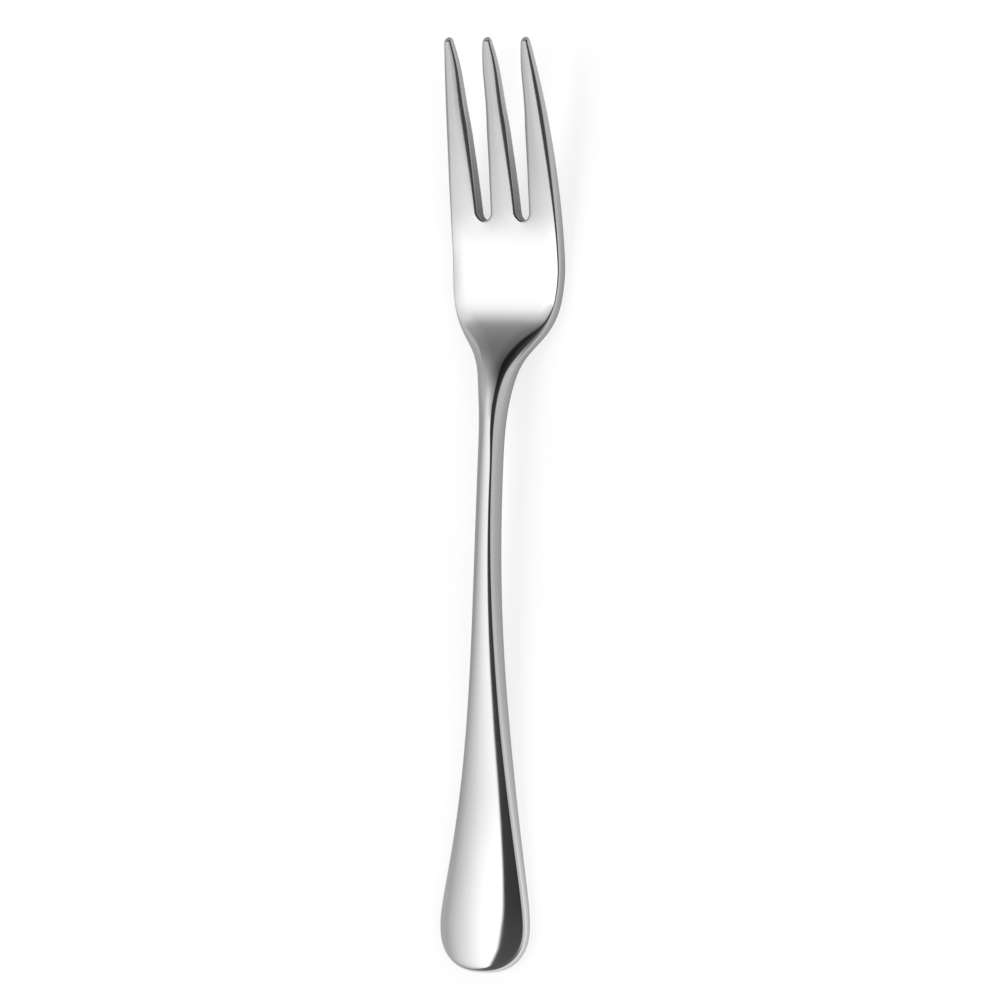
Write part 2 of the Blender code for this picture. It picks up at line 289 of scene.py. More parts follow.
def front_height(across, place):
    """Return the height of the front: the back, plus the thickness of the edge, the crown and the dish.

    The crown is a parabola across the fork, as high in the middle as its share of the half width. Over the
    end of the handle it falls away by a power of the distance, so that it becomes a shallow dome. Its high
    line drifts to the right towards the neck. The dish is a parabola the other way over the tines.
    """
    behind = np.clip((DOME_LENGTH - place) / (DOME_LENGTH - END_ROUND), 0.0, 1.0)
    reach = face_half_width(np.maximum(place, WIDEST_AT))
    dome = reach ** 2 * (1 - DOME_SHARE * behind ** DOME_POWER)
    high_line = HIGH_LINE_DRIFT * np.maximum(place - HIGH_LINE_START, 0.0)
    crown = follow(CROWN, place) * (dome - (across - high_line) ** 2) / reach
    return back_height(place) + follow(EDGE_THICKNESS, place) + crown + follow(DISH, place) * across ** 2


print("height of the front over the bowl in mm:", round(float(front_height(0.0, BOWL_AT)) / MM, 2))

# %% [markdown]
# ## Slots between the tines
# The two slots are punched out with a round bottom and flare a little towards the tips, where the tines
# come to a point. A boolean cut would leave ragged edges on a mirror surface. Instead the columns of
# the grid are led round the slots, so that the edge of each slot is a line of the grid.

# %% Slots
SLOT_AT = TINE_PITCH / 2
SLOT_RADIUS = 1.65 * MM
SLOT_MOUTH = 6.1 * MM
POINT_LENGTH = 8.0 * MM
SLOT_STRAIGHT_AT = ROOT_AT + SLOT_RADIUS


def slot_half_width(place):
    """Return the half width of a slot: its radius, plus an even flare towards the mouth.

    Over the points of the tines a square law widens it further, until the tips have their own width.
    """
    share = (place - SLOT_STRAIGHT_AT) / (TIP_AT - SLOT_STRAIGHT_AT)
    flare = SLOT_RADIUS + share * (SLOT_MOUTH / 2 - SLOT_RADIUS)
    point = np.clip((place - TIP_AT + POINT_LENGTH) / POINT_LENGTH, 0.0, 1.0)
    return flare + point ** 2 * (SLOT_AT - SLOT_MOUTH / 2 - TIP_WIDTH / 2)


print("width of a slot at the tips in mm:", round(2 * float(slot_half_width(TIP_AT)) / MM, 2))

# %% Row round the bottoms of the slots
TINE_COLUMNS = 8
HALF_TINE = TINE_COLUMNS // 2
SLOT_COLUMNS = 20
COLUMNS = 3 * TINE_COLUMNS + 2 * SLOT_COLUMNS
ROOT_SLOT_ROUND = 0.62 * MM
MID_SLOT_ROUND = 1.05 * MM
MID_SLOT_AT = TIP_AT - 14.0 * MM
SLOT_ROUND = (
    (SLOT_STRAIGHT_AT, ROOT_SLOT_ROUND, 0.0, 0.0, 0.40),
    (MID_SLOT_AT, MID_SLOT_ROUND, 0.0, 0.35, 0.40),
    (TIP_AT, TIP_ROUND, 0.0, 0.30, 0.0),
)


def mirror_half(half, sign):
    """Return a whole row from its right half: the half turned round, times the sign, then the half."""
    return np.concatenate((sign * half[..., :0:-1], half), axis=-1)


def root_row():
    """Return the row round the bottoms of both slots: half circles there, straight over the tines."""
    radius = SLOT_RADIUS + ROOT_SLOT_ROUND
    angle = np.linspace(np.pi, 0.0, SLOT_COLUMNS + 1)
    slot_across = SLOT_AT + radius * np.cos(angle)
    outer = np.linspace(slot_across[-1], face_half_width(SLOT_STRAIGHT_AT), TINE_COLUMNS + 1)[1:]
    middle = np.linspace(0.0, slot_across[0], HALF_TINE + 1)[:-1]
    across = np.concatenate((middle, slot_across, outer))
    drop = np.concatenate((0 * middle, -radius * np.sin(angle), 0 * outer))
    return mirror_half(across, -1), mirror_half(drop, 1)


root_across, root_drop = root_row()
print("columns across the fork:", COLUMNS)

# %% [markdown]
# ## The plan of the faces
# The plan is one grid of points: rows across the fork, columns along it. The first rows round off the
# end of the handle. A fan of triangles would pinch the mirror at its tip, so the rows are bent to the
# outline and straighten as they leave it.

# %% Rounded end of the handle
END_ARC = np.radians(50.0)
END_POWER = 2.35
END_ROWS = 26


def rounded_end(turns, spread, power):
    """Return a rounded end as shares of its half width and length, one row for each turn.

    A row starts and stops on the superellipse |across|^power + |along|^power = 1, at the turn measured
    from the tip. The row nearest the tip is an arc of that superellipse, and the rows straighten until the
    last one is level.
    """
    arc_across = np.sign(spread) * np.abs(np.sin(END_ARC * spread)) ** (2 / power)
    arc_along = np.cos(END_ARC * spread) ** (2 / power)
    turn = turns[:, None]
    straighten = (turn - END_ARC) / (np.pi / 2 - END_ARC)
    bow = (1 - straighten) * arc_across / arc_across[-1] + straighten * spread
    across = np.sin(turn) ** (2 / power) * bow
    along = np.abs(np.cos(turn)) ** (2 / power) + (1 - straighten) * (arc_along - arc_along[-1])
    return across, along


def handle_end_rows():
    """Return the rows of the handle's end, a superellipse as wide as the handle's faces."""
    turns = np.linspace(END_ARC, np.pi / 2, END_ROWS + 1)[:-1]
    across, along = rounded_end(turns, np.linspace(-1.0, 1.0, COLUMNS + 1), END_POWER)
    return face_half_width(WIDEST_AT) * across, WIDEST_AT - (WIDEST_AT - END_ROUND) * along


handle_end = handle_end_rows()
print("rows over the end of the handle:", END_ROWS)

# %% [markdown]
# The next rows follow the outline from the handle to the head. They lie closest in the neck, where the
# shape changes fastest, and bend more and more towards the bottoms of the slots.

# %% Rows along the body
BODY_SPANS = ((WIDEST_AT, STEM_AT, 110), (STEM_AT, NECK_AT, 16), (NECK_AT, REST_START, 64),
              (REST_START, REST_STOP, 18), (REST_STOP, SLOT_STRAIGHT_AT, 30))
spans = [np.linspace(start, stop, rows, endpoint=False) for start, stop, rows in BODY_SPANS]
body_places = np.concatenate(spans + [[SLOT_STRAIGHT_AT]])


def body_rows(places):
    """Return straight rows that bend towards the bottoms of the slots in the head.

    On the handle the columns are spread evenly. Through the shoulders they move over to the columns of the
    root row, and from the back of the bowl onwards each row takes up more of the root row's bends.
    """
    place = places[:, None]
    bend = np.clip((place - REST_STOP) / (SLOT_STRAIGHT_AT - REST_STOP), 0.0, 1.0)
    spread = np.clip((place - SHOULDER_AT) / (BOWL_AT - SHOULDER_AT), 0.0, 1.0)
    even = np.linspace(-1.0, 1.0, COLUMNS + 1)
    share = (1 - spread) * even + spread * root_across / root_across[-1]
    return face_half_width(place) * share, place + bend * root_drop


body = body_rows(body_places)
print("rows along the body:", len(body_places))

# %% [markdown]
# The last rows run up the three tines and round off their tips. They crowd together towards the tips,
# because a sine spaces them. The columns of the slots are kept in the grid, so that it stays one
# rectangle.

# %% Rows along the tines
TINE_ROWS = 80
TIP_ROWS = 10
CIRCLE_POWER = 2.0
tine_length = TIP_AT - TIP_WIDTH / 2 - SLOT_STRAIGHT_AT
tine_places = SLOT_STRAIGHT_AT + tine_length * np.sin(np.linspace(0.0, np.pi / 2, TINE_ROWS + 1)[1:])


def tine_half_rows(place, outer_share, middle_share):
    """Return the right half of the rows of the tines, whose points all have their own place.

    Each tine runs from one edge to the other in even shares. The columns of the slots are filled in
    straight, because their faces are left out.
    """
    gap = slot_half_width(place) + follow(SLOT_ROUND, place)
    inner = SLOT_AT + gap
    outer = face_half_width(place)
    middle = SLOT_AT - gap
    start = HALF_TINE + SLOT_COLUMNS
    across = np.zeros_like(place)
    across[:, :HALF_TINE + 1] = middle[:, :HALF_TINE + 1] * middle_share
    across[:, start:] = (inner + outer)[:, start:] / 2 + (outer - inner)[:, start:] / 2 * outer_share
    fill = np.linspace(0.0, 1.0, SLOT_COLUMNS + 1)
    slot_start, slot_stop = across[:, HALF_TINE:HALF_TINE + 1], across[:, start:start + 1]
    across[:, HALF_TINE:start + 1] = (1 - fill) * slot_start + fill * slot_stop
    return across


def tine_rows(places):
    """Return the rows of the tines: level rows, and then the tips, which are rounded by half circles."""
    nose = TIP_WIDTH / 2 - TIP_ROUND
    spread = np.linspace(-1.0, 1.0, TINE_COLUMNS + 1)
    turns = np.linspace(np.pi / 2, END_ARC, TIP_ROWS + 1)[1:]
    cap_across, cap_along = rounded_end(turns, spread, CIRCLE_POWER)
    share = np.concatenate((np.tile(spread, (len(places), 1)), cap_across))
    level = np.tile(places[:, None], (1, TINE_COLUMNS + 1))
    along = np.concatenate((level, places[-1] + nose * cap_along))
    slots = np.tile(along[:, :1], (1, SLOT_COLUMNS - 1))
    place = np.concatenate((along[:, HALF_TINE:], slots, along), axis=1)
    across = tine_half_rows(place, share, share[:, HALF_TINE:])
    return mirror_half(across, -1), mirror_half(place, 1)


tines = tine_rows(tine_places)
print("rows along the tines:", len(tines[0]))

# %% Put the plan together
sections = (handle_end, body, tines)
across = np.concatenate([section[0] for section in sections])
place = np.concatenate([section[1] for section in sections])
root_at_row = END_ROWS + len(body_places) - 1
print("plan grid:", across.shape, "rows and columns")

# %% [markdown]
# ## The rounded edge
# The edge is a profile carried along a path. The path runs once round the plan, up and down every tine.
# A bevel would have to guess at the corners of the slots; here the path passes through the grid's own
# points, so that the edge and the faces share them.

# %% Path round the plan
def outline_path(rows, columns):
    """Return the row and column numbers round the plan, anticlockwise seen from above."""
    last = rows - 1
    up = np.arange(0, rows)
    rise = np.arange(root_at_row, rows)
    parts = [(np.zeros(columns, int), np.arange(columns)), (up[1:], np.full(last, columns - 1))]
    right = columns - 1
    for tine in range(3):
        left = right - TINE_COLUMNS
        parts.append((np.full(TINE_COLUMNS, last), np.arange(right - 1, left - 1, -1)))
        if tine < 2:
            floor = left - SLOT_COLUMNS
            parts.append((rise[-2::-1], np.full(len(rise) - 1, left)))
            parts.append((np.full(SLOT_COLUMNS, root_at_row), np.arange(left - 1, floor - 1, -1)))
            parts.append((rise[1:], np.full(len(rise) - 1, floor)))
            right = floor
    parts.append((up[-2:0:-1], np.zeros(last - 1, int)))
    return np.concatenate([part[0] for part in parts]), np.concatenate([part[1] for part in parts])


path_row, path_column = outline_path(*across.shape)
path = np.stack((across[path_row, path_column], place[path_row, path_column]), axis=1)
print("points round the edge:", len(path))

# %% [markdown]
# ## The roll-off
# Polishing never leaves a flat right up to the edge: the wheel takes a little more there. The head's
# front therefore falls by up to a fifth of a millimetre over its last few millimetres, and the noses of
# the tines are bevelled. The distance to the path says how near a point is to the edge.

# %% Roll the front off towards its edges
ROLL_WIDTH = 2.6 * MM
ROLL_DEPTH = 0.18 * MM
ROLL_POWER = 2.0
NOSE_LENGTH = 1.0 * MM
NOSE_DEPTH = 0.78 * MM
NOSE_POWER = 1.2
ROLL_SHARE = (
    (SHOULDER_AT, 0.15, 0.0, 0.0, 0.40),
    (REST_STOP, 1.0, 0.0, 0.40, 0.40),
    (ROOT_AT, 0.45, 0.0, 0.40, 0.40),
    (TIP_AT, 0.40, 0.0, 0.40, 0.0),
)


def distance_to_path(across, place):
    """Return how far each point of the plan is from the path: its least distance to any path point."""
    rows = zip(across[..., None], place[..., None])
    return np.array([np.hypot(a - path[:, 0], p - path[:, 1]).min(axis=1) for a, p in rows])


def roll_off(place, distance):
    """Return how far the front falls: a parabola over the roll's width, and a bevel over the noses.

    The bevel grows with a power a little over one of the distance past the start of the nose.
    """
    near_edge = np.clip(1 - distance / ROLL_WIDTH, 0.0, 1.0) ** ROLL_POWER
    near_tip = np.clip(1 - (TIP_AT - place) / NOSE_LENGTH, 0.0, 1.0) ** NOSE_POWER
    return follow(ROLL_SHARE, place) * ROLL_DEPTH * near_edge + NOSE_DEPTH * near_tip


fall = roll_off(place, distance_to_path(across, place))
print("deepest fall of the front in mm:", round(float(fall.max()) / MM, 3))

# %% [markdown]
# ## The profile of the edge
# The profile starts level with the front, bulges out by the edge's round and comes back under level
# with the back, so that no crease shows between the faces and the edge. How square it is changes along
# the fork: the wheel rounds the shoulders and the tines most. In the slots, where it can't reach, the
# wall stays straight.

# %% Squareness of the edge
BACK_POWER = 4.0
SLOT_POWER = 2.1
FRONT_POWER = (
    (WIDEST_AT, 2.6, 0.0, 0.0, 0.40),
    (STEM_AT, 3.4, 0.0, 0.40, 0.40),
    (SHOULDER_AT, 2.1, 0.0, 0.40, 0.40),
    (BOWL_AT, 4.0, 0.0, 0.40, 0.40),
    (MID_TINE_AT, 2.1, 0.0, 0.40, 0.40),
    (TIP_AT, 2.1, 0.0, 0.30, 0.0),
)
LOW_WALL_AT = TIP_AT - 20.0 * MM
NO_WALL_AT = TIP_AT - 12.0 * MM
SLOT_STOP = (
    (SLOT_STRAIGHT_AT, 0.56, 0.0, 0.0, 0.40),
    (LOW_WALL_AT, 0.74, 0.0, 0.40, 0.40),
    (NO_WALL_AT, 1.0, 0.0, 0.40, 0.0),
)
print("power of the edge at the bowl:", round(float(follow(FRONT_POWER, BOWL_AT)), 2))

# %% Carry the profile along the path
ROUND_STEPS = 24
SLOPE_STEP = 0.01 * MM


def outward(path):
    """Return the unit direction out of the plan at each point: the mean of its two edges, turned right."""
    run = np.roll(path, -1, axis=0) - path
    run = run / np.linalg.norm(run, axis=1, keepdims=True)
    side = np.stack((run[:, 1], -run[:, 0]), axis=1)
    side = side + np.roll(side, 1, axis=0)
    return side / np.linalg.norm(side, axis=1, keepdims=True)


def rounded_edge(path):
    """Return rings of points from the front to the back: a superellipse between the two faces.

    At an angle round the edge the point lies out by round * |sin|^(2/power). Its height goes from the
    front's tangent plane to the back's by the signed power |cos|^(2/power), so the edge leaves both faces
    smoothly. The lower half, towards the back, has a power of its own. In the slots the round stops at a
    share of its width, where the punched wall drops straight down.
    """
    side = outward(path)
    across, place = path.T
    inside_across, inside_place = (path - SLOPE_STEP * side).T
    in_slot = (place > HEAD_AT) & (np.abs(across) < face_half_width(place) - SLOPE_STEP)
    stop = np.where(in_slot, follow(SLOT_STOP, place), 1.0)
    edge_round = np.where(in_slot, follow(SLOT_ROUND, place) / stop, follow(EDGE_ROUND, place))
    front_power = np.where(in_slot, SLOT_POWER, follow(FRONT_POWER, place))
    front = front_height(across, place) - roll_off(place, 0.0)
    front_inside = front_height(inside_across, inside_place) - roll_off(inside_place, SLOPE_STEP)
    front_slope = (front - front_inside) / SLOPE_STEP
    back = back_height(place)
    back_slope = (back - back_height(inside_place)) / SLOPE_STEP
    angle = np.linspace(0.0, np.pi, ROUND_STEPS + 1)[1:-1, None]
    power = np.where(np.cos(angle) > 0, front_power, BACK_POWER)
    lean = np.sign(np.cos(angle)) * np.abs(np.cos(angle)) ** (2 / power)
    out = edge_round * np.minimum(np.sin(angle) ** (2 / power), stop)
    height = (1 + lean) / 2 * (front + front_slope * out) + (1 - lean) / 2 * (back + back_slope * out)
    return np.stack((across + out * side[:, 0], place + out * side[:, 1], height), axis=2)


rings = rounded_edge(path)
print("rings of the edge:", rings.shape[:2])

# %% [markdown]
# ## One closed skin
# Front, edge and back share their border points, so the three of them close into one watertight skin
# with nothing to weld. Each point also remembers how far round the edge it lies, which the material
# uses later to paint the edges darker as painted shade.

# %% Points of the skin
front_points = np.stack((across, place, front_height(across, place) - fall), axis=2).reshape(-1, 3)
back_points = np.stack((across, place, back_height(place)), axis=2).reshape(-1, 3)
points = np.concatenate((front_points, back_points, rings.reshape(-1, 3)))
points[:, 1] -= TIP_AT / 2
ring_share = np.sin(np.linspace(0.0, np.pi, ROUND_STEPS + 1)[1:-1])
on_edge = np.concatenate((np.zeros(2 * across.size), np.repeat(ring_share, len(path))))
print("points of the front, the back and the edge:", len(points))

# %% [markdown]
# Faces are lists of point numbers, made from the grid's own numbering. The front leaves out the cells
# of the slots, the back is the front turned over, and the edge joins each ring to the next one.

# %% Faces of the skin
number = np.arange(across.size).reshape(across.shape)
corners = np.stack((number[:-1, :-1], number[:-1, 1:], number[1:, 1:], number[1:, :-1]), axis=2)
row = np.arange(across.shape[0] - 1)
column = np.arange(across.shape[1] - 1)
in_slot = column % (TINE_COLUMNS + SLOT_COLUMNS) >= TINE_COLUMNS
front_faces = corners[~((row[:, None] >= root_at_row) & in_slot)]
back_faces = front_faces[:, ::-1] + across.size
border = number[path_row, path_column]
ring_numbers = 2 * across.size + np.arange(rings.shape[0] * len(path)).reshape(rings.shape[:2])
levels = np.concatenate((border[None], ring_numbers, border[None] + across.size))
following = np.roll(levels, -1, axis=1)
edge_faces = np.stack((levels[:-1], levels[1:], following[1:], following[:-1]), axis=2).reshape(-1, 4)
faces = np.concatenate((front_faces, edge_faces, back_faces))
print("faces of the front, the edge and the back:", len(front_faces), len(edge_faces), len(back_faces))

# %% [markdown]
# The points inside the slots belong to no face and are dropped. In a closed skin every side is shared
# by exactly two faces, so counting the sides shows whether a seam was left open.

# %% Drop unused points and count the sides
used, faces = np.unique(faces, return_inverse=True)
faces = faces.reshape(-1, 4)
points = points[used]
on_edge = on_edge[used]
sides = np.sort(np.stack((faces, np.roll(faces, -1, axis=1)), axis=2).reshape(-1, 2), axis=1)
uses = np.unique(sides, axis=0, return_counts=True)[1]
print("points:", len(points), "faces:", len(faces), "open or crowded sides:", int(np.sum(uses != 2)))

# %% Make the fork
fork_mesh = bpy.data.meshes.new("fork_polished")
fork_mesh.from_pydata(points.tolist(), [], faces.tolist())
fork_mesh.shade_smooth()
fork_mesh.attributes.new("on_edge", "FLOAT", "POINT").data.foreach_set("value", on_edge)
fork = bpy.data.objects.new("fork_polished", fork_mesh)
bpy.context.scene.collection.objects.link(fork)
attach(fork, "root")
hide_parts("fork")
print("triangles of the fork:", 2 * len(faces))

# %% [markdown]
# ## Colours and nodes
# Colours are written as sRGB hex values, as they are read off a screen. The renderer adds up light, so
# one function turns them into linear values. A second one adds a node of any kind with its settings,
# inputs and links. Many inputs change evenly between two places, and a range of four numbers says how.

# %% Colours and nodes
def linear(hex_colour):
    """Return an sRGB hex colour as linear red, green, blue and alpha."""
    srgb = np.array([int(hex_colour[i:i + 2], 16) for i in (1, 3, 5)]) / 255
    values = np.where(srgb <= 0.04045, srgb / 12.92, ((srgb + 0.055) / 1.055) ** 2.4)
    return (*values.tolist(), 1.0)


def add_node(tree, kind, links=(), inputs=(), **settings):
    """Add a node, set its options and inputs, and link (input name, node, output name) to it."""
    node = tree.nodes.new(kind)
    for name, value in settings.items():
        setattr(node, name, value)
    for name, value in inputs:
        node.inputs[name].default_value = value
    for name, source, output in links:
        tree.links.new(source.outputs[output], node.inputs[name])
    return node


WHITE = linear("#FFFFFF")
RANGE = ("From Min", "From Max", "To Min", "To Max")
print("linear grey of #C9C9C9:", round(linear("#C9C9C9")[0], 3))

# %% [markdown]
# ## Polished stainless steel
# Forks are stamped from chromium and nickel steel. The blank is ground along its length with ever finer
# belts, and cloth wheels with polishing paste buff it to a mirror. A colour ramp along the fork holds the
# steel's grey with painted sheen and painted shade in it: the bowl and the rounded end of the handle are
# painted brightest, the stem a shade darker, and the tines and all the edges darker still.

# %% Brightness along the fork
# Painted sheen and shade: the steel's grey is made lighter over the bowl and the handle's end, darker on
# the stem and tines.
PAINTED_SHEEN_STOPS = (
    (14.0 * MM, "#C9C9C9"), (36.0 * MM, "#B9B9B9"), (105.0 * MM, "#B4B4B4"), (116.0 * MM, "#BCBCBC"),
    (122.0 * MM, "#D1D1D1"), (139.0 * MM, "#D1D1D1"), (148.0 * MM, "#B4B4B4"), (160.0 * MM, "#AFAFAF"),
)
# Painted shade: the edges get a darker grey than the faces.
PAINTED_EDGE_SHADE = "#B4B4B4"
MIX_A, MIX_B, MIX_RESULT = 6, 7, 2  # the sockets of a Mix node that take and give colours
steel = bpy.data.materials.new("polished_stainless_steel")
steel.use_nodes = True
tree = steel.node_tree
where = add_node(tree, "ShaderNodeTexCoord")
axes = add_node(tree, "ShaderNodeSeparateXYZ", [("Vector", where, "Object")])
along = add_node(tree, "ShaderNodeMapRange", [("Value", axes, "Y")],
                 zip(RANGE, (-TIP_AT / 2, TIP_AT / 2)))
painted_sheen_ramp = add_node(tree, "ShaderNodeValToRGB", [("Fac", along, "Result")])
painted_sheen_ramp.color_ramp.interpolation = "EASE"
for stop in PAINTED_SHEEN_STOPS[2:]:
    painted_sheen_ramp.color_ramp.elements.new(stop[0] / TIP_AT)
for element, (stop, colour) in zip(painted_sheen_ramp.color_ramp.elements, PAINTED_SHEEN_STOPS):
    element.position = stop / TIP_AT
    element.color = linear(colour)
edge = add_node(tree, "ShaderNodeAttribute", attribute_name="on_edge")
# Mixes in the painted edge shade by how far round the edge a point lies.
shade = add_node(tree, "ShaderNodeMix", [("Factor", edge, "Fac"), (MIX_A, painted_sheen_ramp, "Color")],
                 [(MIX_B, linear(PAINTED_EDGE_SHADE))], data_type="RGBA")
print("stops of the polish in mm:", [round(stop / MM) for stop, colour in PAINTED_SHEEN_STOPS])

# %% [markdown]
# ## Traces of the grinding and the polishing
# The belts leave lines along the fork, a quarter of a millimetre apart and far too shallow to feel. The
# wheels leave slow waves some millimetres long, which bend a mirrored edge very slightly. A picture of
# scratches would blur when seen close up. Noise stretched to real sizes stays sharp at any distance.

# %% Lines and waves
LINE_GAP = 0.25 * MM
LINE_LENGTH = 30.0 * MM
LINE_DEPTH = 0.0002 * MM
WAVE_LENGTH = 7.0 * MM
WAVE_DEPTH = 0.004 * MM
stretched = add_node(tree, "ShaderNodeMapping", [("Vector", where, "Object")],
                     [("Scale", (1 / LINE_GAP, 1 / LINE_LENGTH, 1 / LINE_GAP))])
lines = add_node(tree, "ShaderNodeTexNoise", [("Vector", stretched, "Vector")],
                 [("Scale", 1.0), ("Detail", 3.0)])
waves = add_node(tree, "ShaderNodeTexNoise", [("Vector", where, "Object")],
                 [("Scale", 1 / WAVE_LENGTH), ("Detail", 0.0)])
wavy = add_node(tree, "ShaderNodeBump", [("Height", waves, "Fac")],
                [("Strength", 1.0), ("Distance", WAVE_DEPTH)])
lined = add_node(tree, "ShaderNodeBump", [("Height", lines, "Fac"), ("Normal", wavy, "Normal")],
                 [("Strength", 1.0), ("Distance", LINE_DEPTH)])
print("lines", LINE_GAP / MM, "mm apart, waves", WAVE_LENGTH / MM, "mm long")

# %% [markdown]
# The wheels also leave patches that are a touch less sharp, and between the tines they hardly reach.
# Both come out as roughness: a little more in the patches, and a good deal more from the head to the
# tines.

# %% Haze
HAZE_SIZE = 12.0 * MM
HAZE = (0.3, 0.7, 0.05, 0.09)
TINE_HAZE = 0.12
DULL_AFTER_ROOT = 8.0 * MM
DULL_TINES = (HEAD_AT - TIP_AT / 2, ROOT_AT + DULL_AFTER_ROOT - TIP_AT / 2)
haze = add_node(tree, "ShaderNodeTexNoise", [("Vector", where, "Object")],
                [("Scale", 1 / HAZE_SIZE), ("Detail", 4.0)])
buffed = add_node(tree, "ShaderNodeMapRange", [("Value", haze, "Fac")], zip(RANGE, HAZE))
on_tines = add_node(tree, "ShaderNodeMapRange", [("Value", axes, "Y")], zip(RANGE, DULL_TINES),
                    interpolation_type="SMOOTHSTEP")
rough = add_node(tree, "ShaderNodeMath", [(0, on_tines, "Result"), (2, buffed, "Result")],
                 [(1, TINE_HAZE)], operation="MULTIPLY_ADD")
print("roughness from", HAZE[2], "to", round(HAZE[3] + TINE_HAZE, 2))

# %% Steel
shader = tree.nodes["Principled BSDF"]
shader.inputs["Metallic"].default_value = 1.0
tree.links.new(shade.outputs[MIX_RESULT], shader.inputs["Base Color"])
tree.links.new(rough.outputs["Value"], shader.inputs["Roughness"])
tree.links.new(lined.outputs["Normal"], shader.inputs["Normal"])
fork_mesh.materials.append(steel)
print("material of the fork:", steel.name, "with", len(tree.nodes), "nodes")

# %% [markdown]
# ## The room
# A mirror has no look of its own: what the eye sees is the room in it. Polished cutlery is photographed
# in a tent of white cloth with a dark roof. The whole room is one function of direction, so there is
# nothing to build or to hide. The cloth is whitest on the right and close to the table, and it darkens
# towards both ends and the roof.

# %% Walls
LEFT_WHITE = 0.65
SIDE_WALLS = (-0.25, 0.25, LEFT_WHITE, 1.0)
NEAR_WALL = (-0.85, -0.35, 0.28, 1.0)
FAR_END = (0.30, 0.62, 0.0, 1.0)
FAR_LOSS = (0.38, 0.52, 0.0, -0.53)
world = bpy.data.worlds.new("studio")
bpy.context.scene.world = world
world.use_nodes = True
tree = world.node_tree
tree.nodes.clear()
direction = add_node(tree, "ShaderNodeTexCoord")
axes = add_node(tree, "ShaderNodeSeparateXYZ", [("Vector", direction, "Generated")])
side = add_node(tree, "ShaderNodeMapRange", [("Value", axes, "X")], zip(RANGE, SIDE_WALLS))
near_wall, far_end, far_loss = [
    add_node(tree, "ShaderNodeMapRange", [("Value", axes, axis)], zip(RANGE, wall),
             interpolation_type="SMOOTHSTEP")
    for axis, wall in (("Y", NEAR_WALL), ("Y", FAR_END), ("Z", FAR_LOSS))]
far_wall = add_node(tree, "ShaderNodeMath", [(0, far_end, "Result"), (1, far_loss, "Result")],
                    [(2, 1.0)], operation="MULTIPLY_ADD")
end_walls = add_node(tree, "ShaderNodeMath", [(0, far_wall, "Value"), (1, near_wall, "Result")],
                     operation="MULTIPLY")
cloth = add_node(tree, "ShaderNodeMath", [(0, side, "Result"), (1, end_walls, "Value")],
                 operation="MULTIPLY")
print("nodes of the walls:", len(tree.nodes))

# %% [markdown]
# Directions that point up are read on a flat ceiling one unit above the fork: dividing a direction by
# its height gives the place where it meets that ceiling. The ceiling's dark cloth is a little lighter
# towards the near end, and the walls, which lean a little, run into it softly.

# %% Ceiling
DARK_CLOTH = (-0.5, 0.4, 0.14, 0.022)
WALL_LEAN = (-0.10, 0.0, 1.0)
WALL_TOP = (0.45, 0.80)
lift = add_node(tree, "ShaderNodeMath", [(1, axes, "Z")], [(0, 1.0)], operation="DIVIDE")
ceiling = add_node(tree, "ShaderNodeVectorMath",
                   [("Vector", direction, "Generated"), ("Scale", lift, "Value")], operation="SCALE")
on_ceiling = add_node(tree, "ShaderNodeSeparateXYZ", [("Vector", ceiling, "Vector")])
dark = add_node(tree, "ShaderNodeMapRange", [("Value", on_ceiling, "Y")], zip(RANGE, DARK_CLOTH))
wall_height = add_node(tree, "ShaderNodeVectorMath", [(0, direction, "Generated")], [(1, WALL_LEAN)],
                       operation="DOT_PRODUCT")
tent = add_node(tree, "ShaderNodeMapRange",
                [("Value", wall_height, "Value"), ("To Min", cloth, "Value"), ("To Max", dark, "Result")],
                zip(RANGE, WALL_TOP), interpolation_type="SMOOTHSTEP")
print("nodes of the walls and the ceiling:", len(tree.nodes))

# %% [markdown]
# ## The lamp
# One large soft lamp hangs under the ceiling on the left. Its right border draws the clean line between
# white and dark along the handle, and its cut near corner bends that line at the end of the handle. The
# far corner is cut too and fades softly, which shades the neck. Each border is a dot product with the
# place on the ceiling, positive on the lamp's side, and a smooth minimum rounds the near corner.

# %% Borders of the lamp
RIGHT_BORDER = (-1.0, 0.0, -0.305)
NEAR_BORDER = (-0.707, 0.707, -0.127)
FAR_BORDER = (-0.743, -0.669, -0.135)
CORNER_ROUND = 0.28
BORDER_FADE = (-0.026, 0.026)
FAR_BORDER_START = -0.015
FAR_BORDER_FADE = (0.038, 0.088, 0.015, 0.304)
right_edge, near_edge, far_edge = [
    add_node(tree, "ShaderNodeVectorMath", [(0, ceiling, "Vector")], [(1, border)],
             operation="DOT_PRODUCT")
    for border in (RIGHT_BORDER, NEAR_BORDER, FAR_BORDER)]
near_corner = add_node(tree, "ShaderNodeMath", [(0, right_edge, "Value"), (1, near_edge, "Value")],
                       [(2, CORNER_ROUND)], operation="SMOOTH_MIN")
inside = add_node(tree, "ShaderNodeMapRange", [("Value", near_corner, "Value")], zip(RANGE, BORDER_FADE),
                  interpolation_type="SMOOTHSTEP")
far_softness = add_node(tree, "ShaderNodeMapRange", [("Value", on_ceiling, "Y")],
                        zip(RANGE, FAR_BORDER_FADE), interpolation_type="SMOOTHSTEP")
far_inside = add_node(tree, "ShaderNodeMapRange",
                      [("Value", far_edge, "Value"), ("From Max", far_softness, "Result")],
                      [("From Min", FAR_BORDER_START)])
print("right border of the lamp on the ceiling:", RIGHT_BORDER[2])

# %% [markdown]
# A real lamp is not evenly bright: it fades to the left and towards both ends. The lamp's light is the
# product of its borders and its fades, and of one more share that keeps it off directions close to
# level.

